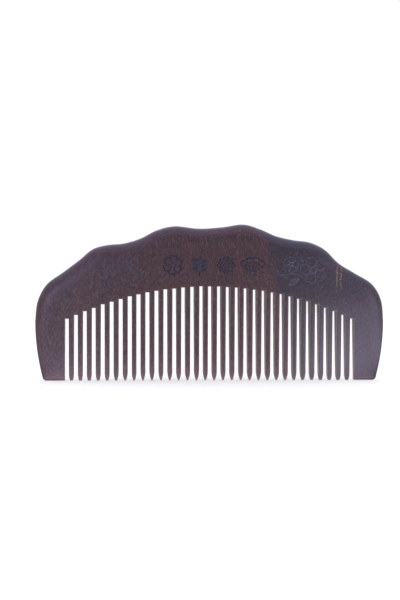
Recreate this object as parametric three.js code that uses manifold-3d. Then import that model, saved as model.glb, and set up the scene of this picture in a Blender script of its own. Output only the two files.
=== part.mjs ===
// A one-piece wooden hair comb, in millimetres. X runs along the comb, Y goes
// through the board and Z is up. The comb stands on its teeth, with the origin
// on the floor below the middle of the board.
//
// The comb is sawn from one board: a wide spine that fits the hand, a broad
// guard at each end, and a row of teeth between them. Each of these is its own
// solid here, and they meet face to face where the wood runs on.

import * as THREE from 'three';
import { mergeVertices } from 'three/addons/utils/BufferGeometryUtils.js';
import Module from 'manifold-3d';

// ---------------------------------------------------------------- dimensions

const combLength = 150;
const combHeight = 67;
const boardThickness = 10;

// The faces are parallel above taperHeight and close in evenly below it.
const taperHeight = 34;
const tipThickness = 3.8;

// The outer edge is rounded over on both faces.
const edgeRounding = 4;
const edgeSteps = 4;
const cornerRadius = 1.6;

// The saw cuts between the teeth, and the shallow arch that their tops follow.
const slotCount = 33;
const slotPitch = 3.83;
const slotWidth = 1.65;
const slotRowCentre = -0.15;
const archTop = 40.35;
const archRise = 13.9;

// Each tooth ends in a rounded point, cut off flat. The power sets how full the
// point is. Outside bluntFrom of the half row the points grow shorter and blunter.
const middlePoint = { length: 4.0, power: 1.75, flat: 0.55 };
const endPoint = { length: 3.3, power: 2.1, flat: 1.2 };
const bluntFrom = 0.35;

// Half the width of the board where its sides meet the floor, and the height
// where it is widest.
const footHalfWidth = 71.5;
const widestHeight = 25.5;

// The outline of the spine from the left side, over two low shoulders and two
// middle crests with finger hollows between them, to the right side.
const spineOutline = [
  [-combLength / 2, widestHeight],
  [-73.9, 34.0],
  [-70.0, 41.2],
  [-63.0, 46.4],
  [-56.0, 51.7],
  [-50.5, 56.2],
  [-44.5, 58.0],
  [-37.0, 58.8],
  [-30.0, 60.9],
  [-23.0, 64.4],
  [-15.2, 66.2],
  [-5.0, 65.2],
  [5.0, 65.8],
  [14.2, combHeight],
  [21.5, 65.0],
  [28.5, 62.0],
  [36.0, 60.3],
  [43.0, 59.3],
  [49.5, 56.2],
  [55.5, 50.4],
  [62.5, 46.1],
  [70.0, 41.4],
  [74.0, 34.5],
  [combLength / 2, widestHeight],
];

// How many straight steps stand in for each curve.
const curveSteps = 4;
const sideSteps = 5;
const pointSteps = 5;
const cornerSteps = 4;

// How far the cutting solids reach past the board, and how close two corners
// must be to count as one.
const overshoot = 5;
const weldTolerance = 1e-5;

const wood = { color: 0x4e3c43, roughness: 0.42, metalness: 0 };

// ----------------------------------------------------------- worked-out sizes

const halfThickness = boardThickness / 2;
const toothWidth = slotPitch - slotWidth;
const halfRow = (slotCount - 1) * slotPitch / 2;

const slotCentre = (index) => slotRowCentre - halfRow + index * slotPitch;
const slotLeft = (index) => slotCentre(index) - slotWidth / 2;
const slotRight = (index) => slotCentre(index) + slotWidth / 2;

function slotTop(index) {
  const offset = (slotCentre(index) - slotRowCentre) / halfRow;
  return archTop - archRise * offset ** 2;
}

// Half the thickness of the board at a height.
function halfThicknessAt(height) {
  const share = Math.min(height / taperHeight, 1);
  return THREE.MathUtils.lerp(tipThickness / 2, halfThickness, share);
}

const rowLeft = slotLeft(0);
const rowRight = slotRight(slotCount - 1);

// -------------------------------------------------------------------- helpers

const wasm = await Module();
wasm.setup();

// Lays a drawing in X and Y up as X and Z, with its extrusion centred on Y = 0.
function standUp(geometry, depth) {
  const upright = new THREE.Matrix4().makeBasis(
    new THREE.Vector3(1, 0, 0),
    new THREE.Vector3(0, 0, 1),
    new THREE.Vector3(0, -1, 0),
  );
  return geometry.translate(0, 0, -depth / 2).applyMatrix4(upright);
}

// The closed solid inside a surface, ready to be cut and joined.
function solidFrom(geometry) {
  const bare = geometry.clone();
  bare.deleteAttribute('normal');
  bare.deleteAttribute('uv');
  const merged = mergeVertices(bare, weldTolerance);
  return new wasm.Manifold(new wasm.Mesh({
    numProp: 3,
    vertProperties: new Float32Array(merged.attributes.position.array),
    triVerts: new Uint32Array(merged.index.array),
  }));
}

// The surface of a solid, ready to be drawn.
function geometryFrom(solid) {
  const mesh = solid.getMesh();
  const geometry = new THREE.BufferGeometry();
  geometry.setAttribute('position', new THREE.BufferAttribute(mesh.vertProperties, 3));
  geometry.setIndex(new THREE.BufferAttribute(mesh.triVerts, 1));
  geometry.computeVertexNormals();
  return geometry;
}

// A closed outline, pushed straight through the whole board.
function through(points) {
  const depth = boardThickness + 2 * overshoot;
  const shape = new THREE.Shape(points.map(([x, z]) => new THREE.Vector2(x, z)));
  const geometry = new THREE.ExtrudeGeometry(shape, { depth, bevelEnabled: false });
  return solidFrom(standUp(geometry, depth));
}

// ---------------------------------------------------------------------- parts

// The whole board before it is sawn, with its outer edge rounded over.
function makeBoard() {
  const points = spineOutline.map(([x, z]) => new THREE.Vector2(x, z));
  const spine = new THREE.SplineCurve(points);
  const first = points[0];
  const last = points[points.length - 1];
  const rightSide = new THREE.QuadraticBezierCurve(
    last,
    new THREE.Vector2(last.x, widestHeight / 2),
    new THREE.Vector2(footHalfWidth, 0),
  );
  const leftSide = new THREE.QuadraticBezierCurve(
    new THREE.Vector2(-footHalfWidth, 0),
    new THREE.Vector2(first.x, widestHeight / 2),
    first,
  );
  const outline = [
    ...spine.getPoints((points.length - 1) * curveSteps),
    ...rightSide.getPoints(sideSteps).slice(1),
    ...leftSide.getPoints(sideSteps).slice(0, -1),
  ];
  const depth = boardThickness - 2 * edgeRounding;
  const geometry = new THREE.ExtrudeGeometry(new THREE.Shape(outline), {
    depth,
    bevelThickness: edgeRounding,
    bevelSize: edgeRounding,
    bevelOffset: -edgeRounding,
    bevelSegments: edgeSteps,
  });
  return solidFrom(standUp(geometry, depth));
}

// The space between the faces of the board, thinning down to the tooth tips.
function makeFaces() {
  const bottom = halfThicknessAt(0);
  const profile = new THREE.Shape([
    new THREE.Vector2(-bottom, 0),
    new THREE.Vector2(bottom, 0),
    new THREE.Vector2(halfThickness, taperHeight),
    new THREE.Vector2(halfThickness, combHeight + overshoot),
    new THREE.Vector2(-halfThickness, combHeight + overshoot),
    new THREE.Vector2(-halfThickness, taperHeight),
  ]);
  const depth = combLength + 2 * overshoot;
  const geometry = new THREE.ExtrudeGeometry(profile, { depth, bevelEnabled: false });
  const alongX = new THREE.Matrix4().makeBasis(
    new THREE.Vector3(0, 1, 0),
    new THREE.Vector3(0, 0, 1),
    new THREE.Vector3(1, 0, 0),
  );
  return solidFrom(geometry.translate(0, 0, -depth / 2).applyMatrix4(alongX));
}

// The height where a tooth grows out of the spine: the lower of its two slots.
const toothRoot = (index) => Math.min(slotTop(index), slotTop(index + 1));

// Everything below the spine. Its upper edge steps along the slot tops and the
// tooth roots.
function makeTeethRegion() {
  const reach = combLength / 2 + overshoot;
  const steps = [[-reach, -overshoot], [-reach, taperHeight], [rowLeft, taperHeight]];
  for (let index = 0; index < slotCount; index += 1) {
    steps.push([slotLeft(index), slotTop(index)], [slotRight(index), slotTop(index)]);
    if (index < slotCount - 1) {
      steps.push([slotRight(index), toothRoot(index)], [slotLeft(index + 1), toothRoot(index)]);
    }
  }
  steps.push([rowRight, taperHeight], [reach, taperHeight], [reach, -overshoot]);
  const isNew = ([x, z], i) => i === 0 || x !== steps[i - 1][0] || z !== steps[i - 1][1];
  return through(steps.filter(isNew));
}

// The solid wood beside the teeth, as far up as the taper goes. The side is 1
// on the right and -1 on the left.
function makeEndGuard(board, side) {
  const inner = side > 0 ? rowRight : rowLeft;
  const corner = new THREE.EllipseCurve(
    side * (footHalfWidth - cornerRadius),
    cornerRadius,
    side * cornerRadius,
    cornerRadius,
    -Math.PI / 2,
    0,
  );
  const reach = side * (combLength / 2 + overshoot);
  const region = [
    [inner, taperHeight],
    [inner, 0],
    ...corner.getPoints(cornerSteps).map(({ x, y }) => [x, y]),
    [side * footHalfWidth, cornerRadius],
    [reach, widestHeight],
    [reach, taperHeight],
  ];
  const guard = board.intersect(through(region));
  return guard.warp((vertex) => {
    vertex[1] *= halfThicknessAt(vertex[2]) / halfThickness;
  });
}

// A tooth hangs from its root, with straight sides down to its point.
function makeTooth(faces, index) {
  const centre = (slotRight(index) + slotLeft(index + 1)) / 2;
  const fromMiddle = Math.abs(centre - slotRowCentre) / halfRow;
  const bluntness = THREE.MathUtils.smoothstep(fromMiddle, bluntFrom, 1);
  const length = THREE.MathUtils.lerp(middlePoint.length, endPoint.length, bluntness);
  const power = THREE.MathUtils.lerp(middlePoint.power, endPoint.power, bluntness);
  const flat = THREE.MathUtils.lerp(middlePoint.flat, endPoint.flat, bluntness);
  const point = [];
  for (let step = 0; step < pointSteps; step += 1) {
    const share = (step / pointSteps) ** 2;
    const growth = 1 - (1 - share) ** power;
    point.push([THREE.MathUtils.lerp(flat, toothWidth, growth) / 2, length * share]);
  }
  const root = toothRoot(index);
  const outline = [
    [slotRight(index), root],
    [slotRight(index), length],
    ...point.map(([half, z]) => [centre - half, z]).reverse(),
    ...point.map(([half, z]) => [centre + half, z]),
    [slotLeft(index + 1), length],
    [slotLeft(index + 1), root],
  ];
  return faces.intersect(through(outline));
}

// ------------------------------------------------------------------- assembly

const comb = new THREE.Group();

function addPiece(name, solid) {
  const mesh = new THREE.Mesh(geometryFrom(solid), new THREE.MeshStandardMaterial(wood));
  mesh.name = name;
  comb.add(mesh);
}

const board = makeBoard();
const faces = makeFaces();

addPiece('spine', board.intersect(faces).subtract(makeTeethRegion()));
addPiece('end_guard_left', makeEndGuard(board, -1));
addPiece('end_guard_right', makeEndGuard(board, 1));
for (let index = 0; index < slotCount - 1; index += 1) {
  addPiece(`tooth_${String(index + 1).padStart(2, '0')}`, makeTooth(faces, index));
}

export default comb;
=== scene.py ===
import math

import bmesh
import bpy
import numpy as np
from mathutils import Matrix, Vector
from mathutils.geometry import delaunay_2d_cdt


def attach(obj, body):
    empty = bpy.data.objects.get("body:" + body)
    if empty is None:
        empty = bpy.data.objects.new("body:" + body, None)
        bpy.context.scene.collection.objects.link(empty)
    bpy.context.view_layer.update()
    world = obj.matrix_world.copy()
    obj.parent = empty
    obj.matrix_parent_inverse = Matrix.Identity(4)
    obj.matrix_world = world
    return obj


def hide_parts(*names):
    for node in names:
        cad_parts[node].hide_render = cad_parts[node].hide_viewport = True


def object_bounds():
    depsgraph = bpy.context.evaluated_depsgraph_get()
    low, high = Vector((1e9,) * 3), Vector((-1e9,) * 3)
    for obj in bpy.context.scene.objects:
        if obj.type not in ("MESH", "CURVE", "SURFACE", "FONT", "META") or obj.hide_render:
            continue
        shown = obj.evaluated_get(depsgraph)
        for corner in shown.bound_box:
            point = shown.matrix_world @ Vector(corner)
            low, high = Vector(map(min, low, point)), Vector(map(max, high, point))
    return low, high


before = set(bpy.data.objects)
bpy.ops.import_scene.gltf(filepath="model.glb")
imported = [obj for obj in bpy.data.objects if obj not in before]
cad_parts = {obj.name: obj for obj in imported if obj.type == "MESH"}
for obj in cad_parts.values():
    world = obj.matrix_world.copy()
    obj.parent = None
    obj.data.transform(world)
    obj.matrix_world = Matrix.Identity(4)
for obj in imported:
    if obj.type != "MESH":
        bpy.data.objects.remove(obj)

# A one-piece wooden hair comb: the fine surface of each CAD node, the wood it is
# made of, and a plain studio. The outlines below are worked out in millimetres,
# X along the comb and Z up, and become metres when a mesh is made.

MM = 0.001
cad_low, cad_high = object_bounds()

# ------------------------------------------------------------------ dimensions

LENGTH, THICKNESS, HEIGHT = (cad_high - cad_low) / MM
HALF_THICKNESS = THICKNESS / 2

# The faces are parallel high up and close in evenly towards the tooth tips. The
# change of slope is eased over a few millimetres.
TAPER_HEIGHT = 34
TIP_THICKNESS = 3.8
TAPER_EASING = 1.6

# Away from the middle the faces also fall away a little, by END_CROWN at the very end.
END_CROWN = 1.3
CROWN_START = 30

# The saw cuts, and the shallow arch that their tops follow.
TOOTH_COUNT = sum(name.startswith("tooth_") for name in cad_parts)
SLOT_COUNT = TOOTH_COUNT + 1
SLOT_PITCH = 3.83
SLOT_WIDTH = 1.65
ROW_CENTRE = -0.15
ARCH_TOP = 40.35
ARCH_RISE = 13.9

# How far single cuts stray sideways and up.
CUT_WANDER = 0.05
TOP_WANDER = 0.12

# The rounding of the sawn edges: how far it reaches over the face and down the
# sawn wall, and its share of the first above the top of a saw cut.
ARRIS = 0.6
ARRIS_DEPTH = 0.4
ARRIS_ABOVE = 0.5

# The rounding of the outer edge: how far in from the outline it starts, which is
# less near the foot, the share of the thickness left at the outline, and how
# late the surface turns.
EDGE_WIDTH = 7.0
EDGE_WIDTH_AT_FOOT = 1.6
EDGE_WIDTH_GROWTH = 0.45
EDGE_SHARE = 0.16
EDGE_POWER = 2.5

# The points of the teeth, in the middle of the row and at its ends: how long they
# are, how full, and how wide at the very tip. Outside BLUNT_FROM of the half row
# they grow shorter and blunter, and single lengths stray by POINT_WANDER. The last
# TIP_ROUNDING of each is rounded down to TIP_SHARE of its thickness.
MIDDLE_POINT = dict(length=4.0, power=1.75, flat=0.55)
END_POINT = dict(length=3.3, power=2.1, flat=1.2)
BLUNT_FROM = 0.35
POINT_WANDER = 0.3
TIP_ROUNDING = 2.0
TIP_SHARE = 0.4

# Half the width of the board at the floor, the height where it is widest, and its
# two bottom corners.
FOOT_HALF_WIDTH = 71.5
WIDEST_HEIGHT = 25.5
CORNER_RADIUS = 1.2

# The spine from left to right, over two low shoulders and two middle crests.
SPINE_OUTLINE = np.array([
    (-LENGTH / 2, WIDEST_HEIGHT),
    (-73.9, 34.0),
    (-70.0, 41.2),
    (-63.0, 46.4),
    (-56.0, 51.7),
    (-50.5, 56.2),
    (-44.5, 58.0),
    (-37.0, 58.8),
    (-30.0, 60.9),
    (-23.0, 64.4),
    (-15.2, 66.2),
    (-5.0, 65.2),
    (5.0, 65.8),
    (14.2, 67.0),
    (21.5, 65.0),
    (28.5, 62.0),
    (36.0, 60.3),
    (43.0, 59.3),
    (49.5, 56.2),
    (55.5, 50.4),
    (62.5, 46.1),
    (70.0, 41.4),
    (74.0, 34.5),
    (LENGTH / 2, WIDEST_HEIGHT),
])

# The engraving: how wide and deep its strokes are, how round their bottoms, and the
# middle height and the reach of the marks in its row.
DEEP = dict(half_width=0.30, depth=0.34)
FINE = dict(half_width=0.20, depth=0.14)
STROKE_POWER = 1.3
MARK_HEIGHT = 49.4
MARK_SIZE = 3.9

# How far wear reaches in from the outer edge and up from the tooth points, and how
# worn the edge is where the points count as 1.
WEAR_REACH = 1.1
EDGE_WEAR = 0.6

# How finely the surfaces are divided.
OUTLINE_STEPS = 14
SIDE_STEPS = 36
CORNER_STEPS = 8
LINE_STEPS = 18
EDGE_RINGS = 10
ARRIS_RINGS = 6
TIP_RINGS = 14
SHAFT_RINGS = 26
ACROSS_SLOT = 7
FAN_STEPS = 5
RISER_STEPS = 4
SEAM_STEPS = 6
WALL_STEPS = 18
WALL_SPACING = 0.45
FACE_SPACING = 1.3
ENGRAVING_SPACING = 0.13

# How far down a saw cut the spine's rings reach, how far the points of a ring may
# stray from their distance to the outer edge or to a cut, how close points may
# come to a rim or to the end of a seam, and how close they must be to count as one.
STEP_REACH = 3.2
RING_SLACK = 0.02
ARRIS_SLACK = 0.005
RIM_CLEARANCE = 0.012
SEAM_CLEARANCE = 0.3
WELD = 1e-5

# Faces that meet at more than this are shaded as a sharp edge.
SHARP_ANGLE = math.radians(42)

# The least length that anything is divided by, and how many points are measured
# against a path at a time.
TINY = 1e-12
BATCH = 2000

random = np.random.default_rng(7)

# ------------------------------------------------------------ the comb's shape


def between(low, high, share):
    return low + (high - low) * share


def smoothstep(low, high, value):
    share = np.clip((value - low) / (high - low), 0, 1)
    return share * share * (3 - 2 * share)


slot_centre = ROW_CENTRE + (np.arange(SLOT_COUNT) - (SLOT_COUNT - 1) / 2) * SLOT_PITCH
slot_centre = slot_centre + random.normal(0, CUT_WANDER, SLOT_COUNT)
slot_left = slot_centre - SLOT_WIDTH / 2
slot_right = slot_centre + SLOT_WIDTH / 2

slot_top = ARCH_TOP - ARCH_RISE * np.linspace(-1, 1, SLOT_COUNT) ** 2
slot_top = slot_top + random.uniform(-TOP_WANDER, TOP_WANDER, SLOT_COUNT)
slot_top[[0, -1]] = ARCH_TOP - ARCH_RISE

# The height where each tooth grows out of the spine, and the outer walls of the row.
# A side is -1 on the left and 1 on the right, here and below.
root = np.minimum(slot_top[:-1], slot_top[1:])
row_edge = {-1: slot_left[0], 1: slot_right[-1]}


def half_thickness(z):
    """Half the board's thickness at a height, before any edge is rounded."""
    slope = (HALF_THICKNESS - TIP_THICKNESS / 2) / TAPER_HEIGHT
    below = TAPER_EASING * np.logaddexp(0, (TAPER_HEIGHT - z) / TAPER_EASING)
    return HALF_THICKNESS - slope * below


def half_board(x, z):
    """Half the board's thickness anywhere on its face, before any edge is rounded."""
    share = np.clip((np.abs(x) - CROWN_START) / (LENGTH / 2 - CROWN_START), 0, 1)
    return half_thickness(z) - END_CROWN * share**2


def spline(points, steps):
    """A smooth curve through the points, with that many steps from one to the next."""
    padded = np.vstack([points[:1], points, points[-1:]])
    share = np.linspace(0, 1, steps, endpoint=False)[:, None]
    spans = []
    for before, start, end, after in zip(padded, padded[1:], padded[2:], padded[3:]):
        leave = (end - before) / 2
        arrive = (after - start) / 2
        spans.append(
            (2 * start - 2 * end + leave + arrive) * share**3
            + (3 * end - 3 * start - 2 * leave - arrive) * share**2
            + leave * share
            + start
        )
    return np.vstack([*spans, points[-1:]])


def bezier(start, control, end, steps):
    """A curve from start to end that leans towards the control point."""
    share = np.linspace(0, 1, steps + 1)[:, None]
    start, control, end = (np.array(point, float) for point in (start, control, end))
    return start * (1 - share) ** 2 + 2 * control * share * (1 - share) + end * share**2


def side_line(side):
    """The board's side and bottom corner, from the widest point down and in to the teeth."""
    foot = (side * FOOT_HALF_WIDTH, 0)
    widest = (side * LENGTH / 2, WIDEST_HEIGHT)
    line = bezier(widest, (side * LENGTH / 2, WIDEST_HEIGHT / 2), foot, SIDE_STEPS)
    line = line[line[:, 1] > CORNER_RADIUS]
    corner_end = (side * (FOOT_HALF_WIDTH - CORNER_RADIUS), 0)
    corner = bezier(line[-1], foot, corner_end, CORNER_STEPS)[1:]
    bottom = np.linspace(corner_end, (row_edge[side], 0), SIDE_STEPS // 2)[1:]
    return np.vstack([line, corner, bottom])


def insert_height(line, z):
    """Adds a point to a line where it crosses a height, and gives its place in the line."""
    above = line[:, 1] > z
    i = int(np.flatnonzero(above[:-1] != above[1:])[0])
    share = (z - line[i, 1]) / (line[i + 1, 1] - line[i, 1])
    point = between(line[i], line[i + 1], share)
    return np.insert(line, i + 1, point, axis=0), i + 1


# The spine's outline, whole and as two halves that both start at the middle, and
# the comb's two sides below it.
crest_line = np.minimum(spline(SPINE_OUTLINE, OUTLINE_STEPS), (LENGTH, HEIGHT))
middle = len(crest_line) // 2
crest_half = {-1: crest_line[:middle][::-1], 1: crest_line[middle:]}
sides = {side: side_line(side) for side in (-1, 1)}

# The whole outline, anticlockwise as seen from the front, from the foot of the
# right guard over the spine to the foot of the left guard.
outline = np.vstack([sides[1][::-1], crest_line[::-1][1:-1], sides[-1]])


def path_distance(points, path):
    """How far each point is from a path of straight pieces."""
    start, step = path[:-1], np.diff(path, axis=0)
    length2 = np.maximum((step**2).sum(1), TINY)
    best = np.full(len(points), np.inf)
    for i in range(0, len(points), BATCH):
        offset = points[i : i + BATCH, None] - start
        share = np.clip((offset * step).sum(2) / length2, 0, 1)
        gap = offset - share[..., None] * step
        best[i : i + BATCH] = np.sqrt((gap**2).sum(2).min(1))
    return best


def slot_distance(points):
    """How far each point of the wood is from the nearest saw cut, stretched above the cut."""
    x, z = points[:, :1], points[:, 1:]
    beside = np.maximum(np.maximum(slot_left - x, x - slot_right), 0)
    above = np.maximum(z - slot_top, 0) / ARRIS_ABOVE
    return np.hypot(beside, above).min(1)


def normals(line):
    """At each point of a line, the direction square to it, on the left of its run."""
    tangent = np.gradient(line, axis=0)
    tangent /= np.maximum(np.hypot(*tangent.T), TINY)[:, None]
    return np.column_stack([-tangent[:, 1], tangent[:, 0]])


def edge_width(z):
    """How far in from the outline the outer edge starts to round, at a height."""
    return np.minimum(EDGE_WIDTH_AT_FOOT + EDGE_WIDTH_GROWTH * z, EDGE_WIDTH)


def half_depth(points):
    """Half the comb's thickness at points of its face, with every edge rounded."""
    x, z = points.T
    half = half_board(x, z)
    outer = np.clip(1 - path_distance(points, outline) / edge_width(z), 0, 1)
    outer_drop = half * (1 - EDGE_SHARE) * (1 - np.sqrt(1 - outer**EDGE_POWER))
    sawn = np.clip(1 - slot_distance(points) / ARRIS, 0, 1)
    sawn_drop = ARRIS_DEPTH * (1 - np.sqrt(1 - sawn**2))
    return half - np.minimum(np.hypot(outer_drop, sawn_drop), half * (1 - EDGE_SHARE))


# ------------------------------------------------------------------- engraving


def arc_line(start, end, bulge):
    """A curved line from start to end that bows out sideways by bulge."""
    start, end = np.array(start, float), np.array(end, float)
    along = end - start
    sideways = np.array([-along[1], along[0]]) / np.hypot(*along)
    return bezier(start, (start + end) / 2 + 2 * bulge * sideways, end, LINE_STEPS)


def leaf_lines(base, tip, width):
    """Both edges of a leaf and its vein."""
    return [arc_line(base, tip, width * share) for share in (1, -1, 0.1)]


def at(centre, radius, angle):
    """The place that far from a centre, in that direction."""
    return centre[0] + radius * math.cos(angle), centre[1] + radius * math.sin(angle)


def blossom_lines(centre, radius, petals=6, turn=0.4):
    """A flower of round petals about a small ring."""
    heart = radius * 0.22
    spread = math.pi / petals
    lines = []
    for petal in range(petals):
        angle = turn + 2 * math.pi * petal / petals
        inner = at(centre, heart, angle)
        left = at(centre, radius * 0.8, angle - spread * 0.8)
        right = at(centre, radius * 0.8, angle + spread * 0.8)
        notch = at(centre, radius * 0.92, angle)
        lines += [
            arc_line(inner, left, -radius * 0.1),
            arc_line(left, notch, -radius * 0.16),
            arc_line(notch, right, -radius * 0.16),
            arc_line(right, inner, -radius * 0.1),
        ]
    ring = np.linspace(0, 2 * math.pi, LINE_STEPS)
    lines.append(np.array([at(centre, heart, angle) for angle in ring]))
    return lines


def sprig_lines(centre, size):
    """An upright stem with pairs of leaves."""
    x, z = centre
    lines = [arc_line((x, z - size), (x, z + size * 0.55), size * 0.05)]
    lines += leaf_lines((x, z + size * 0.5), (x, z + size), size * 0.14)
    for level in (-0.65, -0.2, 0.25):
        for side in (-1, 1):
            base = (x, z + size * level)
            tip = (x + side * size * 0.85, z + size * (level + 0.45))
            lines += leaf_lines(base, tip, size * 0.14)
    return lines


def lattice_lines(centre, size):
    """Nested diamonds with a cross of short strokes."""
    lines = []
    for share in (1.0, 0.66, 0.33):
        corners = [at(centre, size * share, math.pi / 2 * quarter) for quarter in range(5)]
        lines += [np.linspace(a, b, LINE_STEPS) for a, b in zip(corners, corners[1:])]
    for quarter in range(4):
        angle = math.pi / 4 + math.pi / 2 * quarter
        inner, outer = at(centre, size * 0.3, angle), at(centre, size * 1.05, angle)
        lines.append(np.linspace(inner, outer, LINE_STEPS))
    return lines


def fan_lines(centre, size):
    """Rays from one foot under two rows of arcs."""
    foot = (centre[0], centre[1] - size * 0.9)
    angles = [math.pi / 2 + math.radians(step) for step in (-56, -28, 0, 28, 56)]
    lines = []
    for angle in angles:
        inner, outer = at(foot, size * 0.25, angle), at(foot, size * 1.55, angle)
        lines.append(np.linspace(inner, outer, LINE_STEPS))
    for reach in (1.1, 1.7):
        tips = [at(foot, size * reach, angle) for angle in angles]
        lines += [arc_line(a, b, -size * 0.16) for a, b in zip(tips, tips[1:])]
    handle = [at(foot, size * 0.5, angle) for angle in (angles[0], angles[-1])]
    lines.append(arc_line(*handle, -size * 0.2))
    return lines


def flower_spray(side):
    """A large blossom, a small one and leaves on a curved stem."""
    big, small = (side * 44.2, 47.2), (side * 34.5, 49.5)
    lines = blossom_lines(big, 5.8, 5, math.pi / 2 + side * 0.3)
    lines += blossom_lines(small, 3.4, 5, math.pi / 2 - side * 0.2)
    lines.append(arc_line((side * 39.5, 44.0), (side * 29.5, 44.6), side * -1.2))
    lines += leaf_lines((side * 38.0, 43.6), (side * 33.5, 40.6), side * 0.9)
    lines += leaf_lines((side * 33.0, 43.6), (side * 28.4, 46.9), side * 0.8)
    lines += leaf_lines((side * 39.8, 50.6), (side * 36.6, 54.6), side * 0.8)
    return lines


# Each mark: its place along the comb, what it shows and its share of MARK_SIZE.
MARKS = [
    (-16.2, blossom_lines, 1.05),
    (-4.8, sprig_lines, 1.0),
    (6.6, lattice_lines, 1.0),
    (18.0, fan_lines, 0.95),
]

# Every stroke, with how it is cut.
strokes = []
for x, make_lines, share in MARKS:
    strokes += [(line, DEEP) for line in make_lines((x, MARK_HEIGHT), MARK_SIZE * share)]
for side in (-1, 1):
    strokes += [(line, FINE) for line in flower_spray(side)]


def engraved_depth(points):
    """How deep the engraving cuts at each point, in millimetres."""
    depth = np.zeros(len(points))
    for line, cut in strokes:
        low = line.min(0) - cut["half_width"]
        high = line.max(0) + cut["half_width"]
        near = np.flatnonzero(((points > low) & (points < high)).all(1))
        if len(near) == 0:
            continue
        share = np.clip(path_distance(points[near], line) / cut["half_width"], 0, 1)
        depth[near] = np.maximum(depth[near], cut["depth"] * (1 - share**2) ** STROKE_POWER)
    return depth


def engraving_points():
    """Surface points along the strokes: at their middles and rims, and then beside those.

    Where they crowd, the first one stays.
    """
    rows = []
    for offsets in ((0,), (-1, 1), (-0.5, 0.5), (-1.5, 1.5)):
        for line, cut in strokes:
            rows += [line + normals(line) * offset * cut["half_width"] for offset in offsets]
    points = np.vstack(rows)
    cells = np.round(points / ENGRAVING_SPACING).astype(int)
    _, first = np.unique(cells, axis=0, return_index=True)
    return points[np.sort(first)]


# -------------------------------------------------------------------- the wood


class Nodes:
    """The node tree of a material or a world, with a short way to add and join nodes."""

    def __init__(self, owner):
        owner.use_nodes = True
        self.owner = owner
        self.tree = owner.node_tree

    def add(self, kind, inputs=(), **settings):
        """A new node, with its settings made and its inputs joined or set."""
        node = self.tree.nodes.new(kind)
        for key, value in settings.items():
            setattr(node, key, value)
        for key, value in dict(inputs).items():
            self.feed(node.inputs[key], value)
        return node

    def feed(self, socket, value):
        """Joins an input to another node's output, or sets it to a constant."""
        if isinstance(value, bpy.types.NodeSocket):
            self.tree.links.new(value, socket)
        else:
            socket.default_value = value

    def stretched(self, place, scale):
        """The place in the wood, scaled by axis to make what is drawn there long or short."""
        return self.add("ShaderNodeMapping", {"Vector": place, "Scale": scale}).outputs["Vector"]

    def turned(self, place, angle):
        """The place in the wood, turned about the axis that runs through the board."""
        inputs = {"Vector": place, "Rotation": (0, angle, 0)}
        return self.add("ShaderNodeMapping", inputs).outputs["Vector"]

    def shifted(self, place, shift):
        """The place in the wood, shifted along the comb."""
        along = self.add("ShaderNodeCombineXYZ", {"X": shift}).outputs["Vector"]
        node = self.add("ShaderNodeVectorMath", {0: place, 1: along}, operation="ADD")
        return node.outputs["Vector"]

    def noise(self, place, scale, detail=2, roughness=0.5):
        """Noise from 0 to 1, with a scale for each axis: a larger one makes smaller spots."""
        inputs = {"Vector": self.stretched(place, scale), "Scale": 1.0}
        inputs.update({"Detail": detail, "Roughness": roughness})
        return self.add("ShaderNodeTexNoise", inputs).outputs["Fac"]

    def attribute(self, name):
        """A number that each point of the mesh carries."""
        return self.add("ShaderNodeAttribute", attribute_name=name).outputs["Fac"]

    def math(self, operation, *values):
        """The result of a sum, a product or the like."""
        node = self.add("ShaderNodeMath", dict(enumerate(values)), operation=operation)
        return node.outputs["Value"]

    def times(self, first, *others):
        """The product of two or more values."""
        product = first
        for value in others:
            product = self.math("MULTIPLY", product, value)
        return product

    def swing(self, value, reach):
        """A noise value made to swing about 0, by half of reach each way."""
        return self.times(self.math("SUBTRACT", value, 0.5), reach)

    def band(self, value, start, end):
        """0 up to start, 1 from end on and smooth between. It falls where end is the lower."""
        inputs = {"Value": value, "From Min": start, "From Max": end}
        node = self.add("ShaderNodeMapRange", inputs, interpolation_type="SMOOTHSTEP")
        return node.outputs["Result"]

    def blend(self, share, first, second):
        """A number between two others."""
        inputs = {"Factor": share, "A": first, "B": second}
        return self.add("ShaderNodeMix", inputs).outputs["Result"]

    def mix(self, share, first, second):
        """A colour between two others."""
        node = self.add("ShaderNodeMix", data_type="RGBA")
        for key, value in ((0, share), (6, first), (7, second)):
            self.feed(node.inputs[key], value)
        return node.outputs[2]


# The wood itself, and the flecks, pores and streaks in it.
BROWN = (0.0188, 0.0054, 0.0038, 1)
RED_BROWN = (0.0292, 0.0068, 0.0038, 1)
PURPLE_GREY = (0.0095, 0.0055, 0.0060, 1)
RED_STREAK = (0.050, 0.013, 0.012, 1)
GOLD = (0.1150, 0.0530, 0.0260, 1)
GREY_BLOOM = (0.0390, 0.0400, 0.0600, 1)
PALE_GOLD = (0.200, 0.125, 0.050, 1)
PORE = (0.0030, 0.0030, 0.0060, 1)

# The engraving, the rubbed edges and the walls of the saw cuts.
# Engraved strokes: a bluish grey on the fine ones, partly the cut wood's grey and partly painted
# sheen, and a darker grey on the deep ones, partly painted shade in their depths.
FINE_GROOVE_AND_SHEEN = (0.023, 0.026, 0.045, 1)
DEEP_GROOVE_AND_SHADE = (0.016, 0.015, 0.020, 1)
WORN = (0.070, 0.036, 0.040, 1)
# The saw cut walls' pale tan is partly their raw sawn wood and partly painted reflection of the
# bright light behind the slots.
SAWN_TAN_AND_REFLECTION = (0.250, 0.175, 0.125, 1)

# The patterns, each with its scale along the comb, through it and up it.
SWAY_SCALE = (0.06, 0.06, 0.05)
PATCH_SCALE = (0.16, 0.16, 0.12)
CURLED_SCALE = (2.6, 2.6, 0.62)
STRAIGHT_SCALE = (3.0, 3.0, 0.32)
STREAK_SCALE = (0.55, 0.55, 0.035)
SPECK_SCALE = (2.4, 2.4, 1.0)
BLOOM_SCALE = (2.2, 2.2, 1.3)
WAVER_SCALE = (0.15, 0.15, 0.28)

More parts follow.
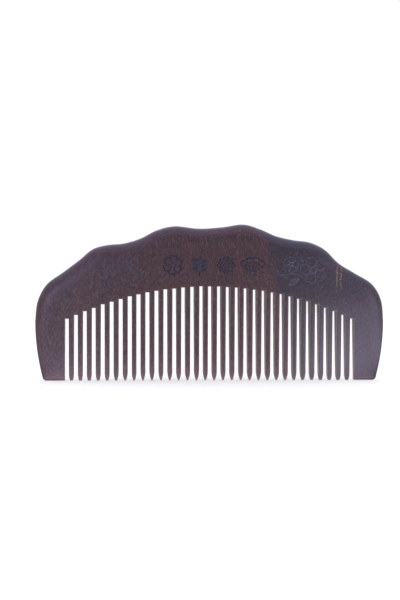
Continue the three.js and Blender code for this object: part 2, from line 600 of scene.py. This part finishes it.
# How strongly each colour covers the wood where its pattern is full.
STREAK_STRENGTH = 0.4
GOLD_STRENGTH = 0.40
GOLD_STRENGTH_IN_HEARTWOOD = 0.21
PORE_STRENGTH = 0.9
BLOOM_STRENGTH = 0.22
FLAW_STRENGTH = 0.6
WORN_STRENGTH = 0.45
SAWN_AND_REFLECTION_STRENGTH = 0.7
GROOVE_STRENGTH = 0.85

# Where the purple heartwood starts at the floor, how far its border leans over for
# each millimetre of height, how far it wavers, and how far it is soft each way.
HEARTWOOD_X = 36.6
HEARTWOOD_SLANT = 0.2
HEARTWOOD_WAVER = 5.0
HEARTWOOD_BLUR = 3.0

# How far the grain sways to and fro, how far the fibres lean in the patches where
# they curl, in radians, and the heights between which they straighten.
SWAY = 9.0
CURL_ANGLE = 0.38
STRAIGHT_HEIGHTS = (48.0, 60.0)

# The places of two pale lines in the grain, their ends, how wide they are and how
# far they waver.
FLAW = dict(x=(54.5, 56.1), z=(37.5, 50.5), half_width=0.55, waver=3.0)

# The roughness of polished wood, what each feature adds where it is full, and how
# deep the fibres and pores are in metres.
ROUGHNESS = 0.24
FIBRE_ROUGHNESS = 0.30
GROOVE_ROUGHNESS = 0.25
WORN_ROUGHNESS = -0.06
SAWN_ROUGHNESS = 0.1
BUMP_DEPTH = 0.04 * MM


def fibre_pattern(n, place, grain, height):
    """Short fibres that curl to the left and right in patches and are straight high up."""
    left_fibre, right_fibre = (
        n.noise(n.turned(grain, angle), CURLED_SCALE, roughness=0.7)
        for angle in (-CURL_ANGLE, CURL_ANGLE)
    )
    patch = n.band(n.noise(place, PATCH_SCALE), 0.42, 0.58)
    curled = n.blend(patch, left_fibre, right_fibre)
    straight = n.noise(grain, STRAIGHT_SCALE, roughness=0.7)
    return n.blend(n.band(height, *STRAIGHT_HEIGHTS), curled, straight)


def flaw_pattern(n, place, axes, speck):
    """Two wavering lines in the grain, faint at their ends and broken into specks."""
    lines = 0.0
    for x in FLAW["x"]:
        waver = n.swing(n.noise(place, WAVER_SCALE, detail=3), FLAW["waver"])
        across = n.math("ABSOLUTE", n.math("ADD", n.math("SUBTRACT", axes["X"], x), waver))
        lines = n.math("MAXIMUM", lines, n.band(across, FLAW["half_width"], 0.1))
    low, high = FLAW["z"]
    lower_end = n.band(axes["Z"], low, low + 5.0)
    upper_end = n.band(axes["Z"], high, high - 3.0)
    return n.times(lines, lower_end, upper_end, n.band(speck, 0.42, 0.60))


def make_wood():
    """Polished dark wood. Its patterns are drawn in millimetres, through the whole board."""
    n = Nodes(bpy.data.materials.new("dark_sandalwood"))
    shader = n.tree.nodes["Principled BSDF"]
    coords = n.add("ShaderNodeTexCoord").outputs["Object"]
    place = n.stretched(coords, (1 / MM, 1 / MM, 1 / MM))
    axes = n.add("ShaderNodeSeparateXYZ", {"Vector": place}).outputs

    # The grain runs up the comb and sways.
    grain = n.shifted(place, n.swing(n.noise(place, SWAY_SCALE, detail=3), SWAY))
    fibre = fibre_pattern(n, place, grain, axes["Z"])
    streak = n.noise(grain, STREAK_SCALE, detail=4, roughness=0.6)
    speck = n.noise(place, SPECK_SCALE, roughness=0.7)

    colour = n.mix(n.band(streak, 0.38, 0.62), BROWN, RED_BROWN)

    # Right of a soft slanting border the heartwood is purple-grey, with a red streak
    # beside it.
    border = n.math("MULTIPLY_ADD", axes["Z"], HEARTWOOD_SLANT, axes["X"])
    border = n.math("ADD", border, n.swing(streak, HEARTWOOD_WAVER))
    heart = n.band(border, HEARTWOOD_X - HEARTWOOD_BLUR, HEARTWOOD_X + HEARTWOOD_BLUR)
    beside = n.band(border, HEARTWOOD_X - 1.5 * HEARTWOOD_BLUR, HEARTWOOD_X - 0.5 * HEARTWOOD_BLUR)
    red = n.times(beside, n.band(streak, 0.40, 0.60), STREAK_STRENGTH)
    colour = n.mix(red, colour, RED_STREAK)
    colour = n.mix(heart, colour, PURPLE_GREY)

    # Gold flecks, fewer in the heartwood, dark pores between them, and a grey bloom.
    gold = n.times(n.band(fibre, 0.47, 0.62), n.band(speck, 0.25, 0.55))
    change = GOLD_STRENGTH_IN_HEARTWOOD - GOLD_STRENGTH
    gold_strength = n.math("MULTIPLY_ADD", heart, change, GOLD_STRENGTH)
    colour = n.mix(n.times(gold, gold_strength), colour, GOLD)
    pore = n.times(n.band(fibre, 0.50, 0.38), n.band(speck, 0.62, 0.42))
    colour = n.mix(n.times(pore, PORE_STRENGTH), colour, PORE)
    bloom = n.band(n.noise(place, BLOOM_SCALE, roughness=0.6), 0.52, 0.66)
    colour = n.mix(n.times(bloom, BLOOM_STRENGTH), colour, GREY_BLOOM)
    flaw = flaw_pattern(n, place, axes, speck)
    colour = n.mix(n.times(flaw, FLAW_STRENGTH), colour, PALE_GOLD)

    # What use and tools have left: rubbed edges, sawn walls and engraved strokes, with painted
    # reflection mixed into the sawn walls' colour and painted sheen and shade into the strokes'
    # colour.
    wear = n.attribute("wear")
    sawn = n.attribute("sawn")
    groove = n.attribute("groove")
    colour = n.mix(n.times(wear, WORN_STRENGTH), colour, WORN)
    # The pale tan on the saw cut walls is partly painted reflection.
    colour = n.mix(n.times(sawn, SAWN_AND_REFLECTION_STRENGTH), colour, SAWN_TAN_AND_REFLECTION)
    # The stroke colour goes from bluish painted sheen where shallow to darker painted shade where
    # deep.
    groove_sheen_and_shade = n.mix(n.band(groove, 0.35, 0.8), FINE_GROOVE_AND_SHEEN, DEEP_GROOVE_AND_SHADE)
    cut = n.times(n.band(groove, 0.05, 0.4), GROOVE_STRENGTH)
    colour = n.mix(cut, colour, groove_sheen_and_shade)

    rough = n.math("MULTIPLY_ADD", fibre, FIBRE_ROUGHNESS, ROUGHNESS)
    rough = n.math("MULTIPLY_ADD", groove, GROOVE_ROUGHNESS, rough)
    rough = n.math("MULTIPLY_ADD", wear, WORN_ROUGHNESS, rough)
    rough = n.math("MULTIPLY_ADD", sawn, SAWN_ROUGHNESS, rough)

    height = n.math("SUBTRACT", n.times(fibre, 0.6), n.times(pore, 0.5))
    bump = n.add("ShaderNodeBump", {"Height": height, "Strength": 0.5, "Distance": BUMP_DEPTH})

    n.feed(shader.inputs["Base Color"], colour)
    n.feed(shader.inputs["Roughness"], rough)
    n.feed(shader.inputs["Normal"], bump.outputs["Normal"])
    shader.inputs["Specular IOR Level"].default_value = 0.4
    return n.owner


wood = make_wood()

# --------------------------------------------------------------- mesh building

# Where the rings of the rounded edges lie, close together where the surface turns:
# shares of the outer edge's width, and distances from a saw cut.
EDGE_SHARES = [(ring / EDGE_RINGS) ** 2 for ring in range(1, EDGE_RINGS + 1)]
ARRIS_REACHES = [
    ARRIS * (1 - math.cos(math.pi / 2 * ring / ARRIS_RINGS)) for ring in range(1, ARRIS_RINGS + 1)
]


def inside(points, polygon):
    """Which points lie inside a closed polygon."""
    x, z = points[:, :1], points[:, 1:]
    a, b = polygon, np.roll(polygon, -1, axis=0)
    crosses = (a[:, 1] > z) != (b[:, 1] > z)
    rise = np.where(a[:, 1] == b[:, 1], 1, b[:, 1] - a[:, 1])
    reach = a[:, 0] + (z - a[:, 1]) / rise * (b[:, 0] - a[:, 0])
    return (crosses & (x < reach)).sum(1) % 2 == 1


def edge_ring_points():
    """Points in rings inside the outer edge."""
    inward = normals(outline)
    rings = []
    for share in EDGE_SHARES:
        reach = edge_width(outline[:, 1]) * share
        points = outline + inward * reach[:, None]
        rings.append(points[np.abs(path_distance(points, outline) - reach) < RING_SLACK])
    return np.vstack(rings)


def arris_ring_points():
    """Points in rings round the top of each saw cut and down beside its walls."""
    fan = np.linspace(0, math.pi / 2, FAN_STEPS)
    rings = []
    for i, (left, right, top) in enumerate(zip(slot_left, slot_right, slot_top)):
        depth = top if i in (0, SLOT_COUNT - 1) else STEP_REACH
        walls = top - np.arange(0, depth, WALL_SPACING)
        # Each row is a place on the cut and the direction its rings go from there.
        base = [(left, z, -1, 0) for z in walls] + [(right, z, 1, 0) for z in walls]
        base += [(x, top, 0, ARRIS_ABOVE) for x in np.linspace(left, right, ACROSS_SLOT)]
        base += [(left, top, -math.cos(angle), ARRIS_ABOVE * math.sin(angle)) for angle in fan]
        base += [(right, top, math.cos(angle), ARRIS_ABOVE * math.sin(angle)) for angle in fan]
        base = np.array(base)
        for reach in ARRIS_REACHES:
            points = base[:, :2] + base[:, 2:] * reach
            rings.append(points[np.abs(slot_distance(points) - reach) < ARRIS_SLACK])
    return np.vstack(rings)


def face_points():
    """An even grid for the rest of the faces."""
    x = np.arange(-LENGTH / 2, LENGTH / 2, FACE_SPACING)
    z = np.arange(0, HEIGHT, FACE_SPACING)
    grid = np.stack(np.meshgrid(x, z), -1).reshape(-1, 2)
    clear = path_distance(grid, outline) > edge_width(grid[:, 1]) + FACE_SPACING / 3
    return grid[clear & (slot_distance(grid) > ARRIS + FACE_SPACING / 3)]


SURFACE_POINTS = np.vstack([edge_ring_points(), arris_ring_points(), face_points()])
ENGRAVING_POINTS = engraving_points()


def fill(polygon, points):
    """Triangles that fill a polygon through the points inside it, and where its corners went."""
    points = points[inside(points, polygon)]
    closed = np.vstack([polygon, polygon[:1]])
    points = points[path_distance(points, closed) > RIM_CLEARANCE]
    everything = np.vstack([polygon, points])
    count = len(polygon)
    coords, _, faces, origins, _, _ = delaunay_2d_cdt(
        [Vector(point) for point in everything], [], [list(range(count))], 1, WELD
    )
    coords = np.array([tuple(point) for point in coords])
    # Points that lie on top of each other come back as one, so each is looked up.
    where = {old: new for new, olds in enumerate(origins) for old in olds}
    return coords, faces, [where[i] for i in range(count)]


def wear_at(points):
    """How worn the wood is, from 0 to 1: most at the tooth points and along the outer edge."""
    x, _, z = points.T
    edge = np.exp(-path_distance(np.column_stack([x, z]), outline) / WEAR_REACH)
    point = np.exp(-np.maximum(z, 0) / WEAR_REACH)
    return np.maximum(edge * EDGE_WEAR, point)


def sawn_at(points):
    """1 on the walls of the saw cuts, falling to 0 over their rounded edges; it also places the
    walls' painted reflection.
    """
    return np.clip(1 - slot_distance(points[:, [0, 2]]) / (ARRIS / 2), 0, 1)


def add_piece(name, points, faces, groove):
    """A closed, smooth mesh object that takes the place of the CAD node of the same name."""
    mesh = bpy.data.meshes.new(name)
    mesh.from_pydata(points * MM, [], faces)
    work = bmesh.new()
    work.from_mesh(mesh)
    bmesh.ops.recalc_face_normals(work, faces=work.faces)
    work.to_mesh(mesh)
    work.free()
    mesh.shade_smooth()
    mesh.set_sharp_from_angle(angle=SHARP_ANGLE)
    attributes = {"groove": groove, "wear": wear_at(points), "sawn": sawn_at(points)}
    for attribute, values in attributes.items():
        mesh.attributes.new(attribute, "FLOAT", "POINT").data.foreach_set("value", values)
    piece = bpy.data.objects.new(name + "_wood", mesh)
    bpy.context.scene.collection.objects.link(piece)
    piece.data.materials.append(wood)
    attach(piece, "root")
    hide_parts(name)


def make_slab(name, polygon, engraved):
    """A stretch of the board inside a polygon, with a front, a back and edges all round."""
    front_points = np.vstack([ENGRAVING_POINTS, SURFACE_POINTS]) if engraved else SURFACE_POINTS
    front, front_faces, front_rim = fill(polygon, front_points)
    back, back_faces, back_rim = fill(polygon, SURFACE_POINTS)
    depth = engraved_depth(front) if engraved else np.zeros(len(front))
    points = np.vstack([
        np.column_stack([front[:, 0], depth - half_depth(front), front[:, 1]]),
        np.column_stack([back[:, 0], half_depth(back), back[:, 1]]),
    ])
    shift = len(front)
    faces = [tuple(face) for face in front_faces]
    faces += [tuple(i + shift for i in reversed(face)) for face in back_faces]
    count = len(polygon)
    for i in range(count):
        j = (i + 1) % count
        faces.append((front_rim[i], front_rim[j], back_rim[j] + shift, back_rim[i] + shift))
    groove = np.concatenate([depth / DEEP["depth"], np.zeros(len(back))])
    add_piece(name, points, faces, groove)


# ------------------------------------------------------------------- the parts


def guard_seam(side):
    """Where a guard meets the spine, and the comb's outline above and below it.

    The seam runs in along the guard's top and then down to the top of the end slot.
    """
    line, i = insert_height(np.vstack([crest_half[side], sides[side][1:]]), TAPER_HEIGHT)
    outer, inner = line[i, 0], row_edge[side]
    reaches = EDGE_WIDTH * np.array(EDGE_SHARES)
    reaches = reaches[reaches < abs(outer - inner) - SEAM_CLEARANCE]
    along = [(outer - side * reach, TAPER_HEIGHT) for reach in (0, *reaches)]
    cut_top = slot_top[0]
    heights = [
        *np.linspace(TAPER_HEIGHT, cut_top + 2 * ARRIS, SEAM_STEPS),
        *[cut_top + ARRIS_ABOVE * reach for reach in reversed(ARRIS_REACHES)],
    ]
    down = [(inner, z) for z in heights]
    return np.array(along + down), line[:i], line[i + 1 :]


def guard_polygon(side):
    """The outline of a guard: its seam, its slot wall and the comb's outline below."""
    seam, _, below = guard_seam(side)
    wall = [(row_edge[side], z) for z in np.linspace(slot_top[0], 0, WALL_STEPS, endpoint=False)]
    return np.vstack([seam, wall, below[::-1]])


def tooth_section(left, right):
    """The places across a tooth's face where its section has points."""
    turn = np.linspace(0, math.pi / 2, ARRIS_RINGS + 1)
    bend = ARRIS * (1 - np.cos(turn))
    middle = (left + right) / 2
    return np.concatenate([left + bend, [middle], (right - bend)[::-1]])


def riser(x, start, end):
    """Points between the ends of a short upright step."""
    return [(x, z) for z in np.linspace(start, end, RISER_STEPS)[1:-1]]


def spine_underside():
    """The spine's lower edge from left to right, over the slot tops and the tooth roots."""
    points = []
    for i in range(SLOT_COUNT):
        if i > 0 and slot_top[i] > root[i - 1]:
            points += riser(slot_left[i], root[i - 1], slot_top[i])
        points += [(x, slot_top[i]) for x in np.linspace(slot_left[i], slot_right[i], ACROSS_SLOT)]
        if i < TOOTH_COUNT:
            if slot_top[i] > root[i]:
                points += riser(slot_right[i], slot_top[i], root[i])
                points.append((slot_right[i], root[i]))
            section = tooth_section(slot_right[i], slot_left[i + 1])
            points += [(x, root[i]) for x in section[1:-1]]
            if slot_top[i + 1] > root[i]:
                points.append((slot_left[i + 1], root[i]))
    return np.array(points)


def spine_polygon():
    """The outline of the spine: its crest, its underside and the two seams between them."""
    left_seam, left_crest, _ = guard_seam(-1)
    right_seam, right_crest, _ = guard_seam(1)
    underside = spine_underside()
    return np.vstack([left_crest[::-1], right_crest, right_seam, underside[::-1], left_seam[::-1]])


def make_tooth(index):
    """A tooth, from its point up to its root in the spine."""
    left, right, top = slot_right[index], slot_left[index + 1], root[index]
    centre, half_width = (left + right) / 2, (right - left) / 2
    bluntness = smoothstep(BLUNT_FROM, 1, abs(centre - ROW_CENTRE) / slot_centre[-1])
    length = between(MIDDLE_POINT["length"], END_POINT["length"], bluntness)
    length += random.uniform(-POINT_WANDER, POINT_WANDER)
    power = between(MIDDLE_POINT["power"], END_POINT["power"], bluntness)
    flat = between(MIDDLE_POINT["flat"], END_POINT["flat"], bluntness)

    section = (tooth_section(left, right) - centre) / half_width
    sawn = np.clip(1 - (1 - np.abs(section)) * half_width / ARRIS, 0, 1)
    drop = ARRIS_DEPTH * (1 - np.sqrt(1 - sawn**2))
    point_heights = length * (np.arange(TIP_RINGS) / TIP_RINGS) ** 2
    shaft_heights = np.linspace(length, top, SHAFT_RINGS)
    rings = []
    for z in (*point_heights, *shaft_heights):
        growth = 1 - max(1 - z / length, 0) ** power
        width = between(flat / 2, half_width, growth)
        rounding = math.sqrt(1 - max(1 - z / TIP_ROUNDING, 0) ** 2)
        x = centre + section * width
        y = half_board(x, z) * between(TIP_SHARE, 1, rounding) - drop
        front = np.column_stack([x, -y, np.full(len(x), z)])
        back = np.column_stack([x, y, np.full(len(x), z)])[::-1]
        rings.append(np.vstack([front, back]))

    count = len(rings[0])
    last = (len(rings) - 1) * count
    faces = [tuple(range(count)), tuple(range(last, last + count))]
    for base in range(0, last, count):
        for i in range(count):
            j = (i + 1) % count
            faces.append((base + i, base + j, base + count + j, base + count + i))
    points = np.vstack(rings)
    add_piece(f"tooth_{index + 1:02d}", points, faces, np.zeros(len(points)))


make_slab("spine", spine_polygon(), engraved=True)
make_slab("end_guard_left", guard_polygon(-1), engraved=False)
make_slab("end_guard_right", guard_polygon(1), engraved=False)
for index in range(TOOTH_COUNT):
    make_tooth(index)

# ------------------------------------------------------------------ the studio

# Sizes and places in the studio are in metres, and powers in watts.
FLOOR_SIZE = 3.0
FLOOR_COLOUR = (0.50, 0.48, 0.40, 1)
FLOOR_ROUGHNESS = 0.7
FLOOR_GLOW_COLOUR = (1.0, 1.0, 0.80, 1)
FLOOR_GLOW = 0.37

SKY = (1.01, 1.01, 1.02, 1)
OVERHEAD_SKY = (1.55, 1.6, 2.4, 1)
DIM_SKY = (0.15, 0.15, 0.30, 1)

SOFTBOX_SIZE = (0.3, 0.3)
PANEL_HEIGHT = 0.0002

# The camera stands left of the middle and is turned a little towards the comb. The
# long side of its picture takes in VIEW_HEIGHT of the comb's plane.
CAMERA_PLACE = Vector((-0.032, -0.600, 0.0345))
CAMERA_AIM = Vector((-0.00435, 0, 0.0345))
VIEW_HEIGHT = 0.2581
SENSOR_MM = 36.0


def facing(place, aim):
    """The rotation that turns a light or a camera at a place towards what it aims at."""
    return (Vector(aim) - Vector(place)).to_track_quat("-Z", "Y").to_euler()


def make_floor():
    """A wide pale sheet that glows as a light table does."""
    mesh = bpy.data.meshes.new("floor")
    corners = [(x * FLOOR_SIZE, y * FLOOR_SIZE, 0) for x, y in ((-1, -1), (1, -1), (1, 1), (-1, 1))]
    mesh.from_pydata(corners, [], [(0, 1, 2, 3)])
    floor = bpy.data.objects.new("floor", mesh)
    bpy.context.scene.collection.objects.link(floor)
    pale = Nodes(bpy.data.materials.new("pale_floor"))
    shader = pale.tree.nodes["Principled BSDF"]
    shader.inputs["Base Color"].default_value = FLOOR_COLOUR
    shader.inputs["Roughness"].default_value = FLOOR_ROUGHNESS
    shader.inputs["Emission Color"].default_value = FLOOR_GLOW_COLOUR
    shader.inputs["Emission Strength"].default_value = FLOOR_GLOW
    mesh.materials.append(pale.owner)


def make_world():
    """White surroundings, brighter overhead and dim on the side where the photographer stands."""
    n = Nodes(bpy.data.worlds.new("studio"))
    direction = n.add("ShaderNodeTexCoord").outputs["Generated"]
    axes = n.add("ShaderNodeSeparateXYZ", {"Vector": direction}).outputs
    colour = n.mix(n.band(axes["Y"], -1.0, -0.3), DIM_SKY, SKY)
    colour = n.mix(n.band(axes["Z"], 0.15, 0.85), colour, OVERHEAD_SKY)
    n.feed(n.tree.nodes["Background"].inputs["Color"], colour)
    bpy.context.scene.world = n.owner


def make_light(name, place, aim, size, power, colour):
    """An oblong lamp that the camera cannot see."""
    lamp = bpy.data.lights.new(name, "AREA")
    lamp.shape = "RECTANGLE"
    lamp.size, lamp.size_y = size
    lamp.energy = power
    lamp.color = colour
    light = bpy.data.objects.new(name, lamp)
    light.location = place
    light.rotation_euler = facing(place, aim)
    light.visible_camera = False
    bpy.context.scene.collection.objects.link(light)


def make_softbox(name, place, aim, power, colour):
    """A square lamp in front of the comb."""
    make_light(name, place, aim, SOFTBOX_SIZE, power, colour)


def make_panel(name, x, y, size, power, colour):
    """A lamp that lies on the floor and shines up, as a bright patch of the sheet does."""
    make_light(name, (x, y, PANEL_HEIGHT), (x, y, 1), size, power, colour)


def make_camera():
    data = bpy.data.cameras.new("camera")
    data.sensor_width = SENSOR_MM
    data.lens = SENSOR_MM * abs(CAMERA_PLACE.y) / VIEW_HEIGHT
    data.clip_start = 0.01
    camera = bpy.data.objects.new("camera", data)
    camera.location = CAMERA_PLACE
    camera.rotation_euler = facing(CAMERA_PLACE, CAMERA_AIM)
    bpy.context.scene.collection.objects.link(camera)
    bpy.context.scene.camera = camera


make_floor()
make_world()
make_softbox("right_softbox", (0.55, -0.70, 0.14), (0.04, 0, 0.02), 1.9, (0.67, 0.67, 1.06))
make_softbox("left_softbox", (-0.36, -0.64, 0.10), (-0.04, 0, 0.02), 2.15, (0.61, 0.66, 1.16))
make_panel("right_panel", 0.115, -0.070, (0.14, 0.11), 0.23, (0.70, 0.66, 1.0))
make_panel("left_panel", -0.105, -0.042, (0.12, 0.06), 0.029, (0.48, 0.60, 1.10))
make_panel("foot_panel", 0, -0.0125, (0.144, 0.023), 0.03, (0.80, 0.75, 1.0))
make_camera()
bpy.context.scene.view_settings.view_transform = "Standard"
